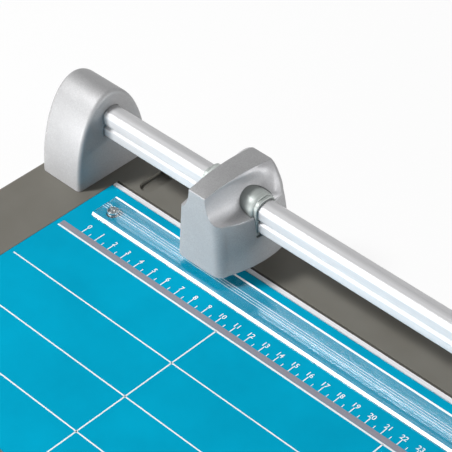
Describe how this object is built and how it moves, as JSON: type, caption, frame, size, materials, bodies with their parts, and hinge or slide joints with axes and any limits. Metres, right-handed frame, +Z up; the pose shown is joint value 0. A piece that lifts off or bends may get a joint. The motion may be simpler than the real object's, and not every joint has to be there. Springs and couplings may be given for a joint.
{
  "type": "rotary paper trimmer",
  "caption": "Desktop rotary paper trimmer: a silver cutting head on a keyed aluminium rail, a clear clamp strip and a blue table with a centimetre scale.",
  "frame": {"origin": "on the desk, under the middle of the base", "axes": "+X along the rail to the user's right, +Y away from the user towards the rear, +Z up"},
  "size_m": [0.4398, 0.211, 0.0794],
  "materials": {
    "grey_plastic": "fine moulded grain",
    "blue_film": "smooth printed film",
    "ground_steel": "ground",
    "aluminium": "satin extrusion",
    "silver_plastic": "silver-grey moulding, satin",
    "bearing_plastic": "satin",
    "clear_plastic": "clear, polished",
    "rubber": "matte",
    "spring_steel": "drawn wire",
    "white_acetal": "satin"
  },
  "bodies": {
    "base": {"base_tray": "grey_plastic", "table_plate": "blue_film", "lower_blade": "ground_steel", "lower_blade_screw_1": "ground_steel", "lower_blade_screw_2": "ground_steel", "lower_blade_screw_3": "ground_steel", "lower_blade_screw_4": "ground_steel", "left_end_block": "silver_plastic", "right_end_block": "silver_plastic", "left_block_screw_front": "ground_steel", "left_block_screw_rear": "ground_steel", "right_block_screw_front": "ground_steel", "right_block_screw_rear": "ground_steel", "rail": "aluminium", "left_rail_screw": "ground_steel", "right_rail_screw": "ground_steel", "rubber_foot_1": "rubber", "rubber_foot_2": "rubber", "rubber_foot_3": "rubber", "rubber_foot_4": "rubber", "left_clamp_spring": "spring_steel", "right_clamp_spring": "spring_steel"},
    "carriage": {"head_hood": "silver_plastic", "left_rail_collar": "bearing_plastic", "right_rail_collar": "bearing_plastic", "blade_carrier": "ground_steel", "blade_axle": "ground_steel", "axle_clip": "spring_steel", "blade_spring": "spring_steel", "hood_screw_front": "ground_steel", "hood_screw_rear": "ground_steel", "press_shoe": "white_acetal"},
    "blade": {"rotary_blade": "ground_steel", "blade_hub": "white_acetal", "hub_nut": "white_acetal"},
    "clamp": {"clamp_strip": "clear_plastic", "left_guide_pin": "ground_steel", "right_guide_pin": "ground_steel", "left_pin_ring": "spring_steel", "right_pin_ring": "spring_steel"}
  },
  "joints": [
    {"name": "head_slide", "type": "slide", "parent": "base", "child": "carriage", "axis": [1, 0, 0], "range_m": [-0.0727, 0.2517]},
    {"name": "blade_spin", "type": "hinge", "parent": "carriage", "child": "blade", "pos_m": [-0.0895, 0.0732, 0.03], "axis": [0, 1, 0], "continuous": true},
    {"name": "clamp_press", "type": "slide", "parent": "base", "child": "clamp", "axis": [0, 0, 1], "range_m": [-0.0009, 0], "stiffness_N_per_m": 600, "springref_m": 0.003, "deforming": ["left_clamp_spring", "right_clamp_spring"]}
  ],
  "couplings": [
    {"joint": "blade_spin", "follows": "head_slide", "rad_per_m": 83.333}
  ]
}
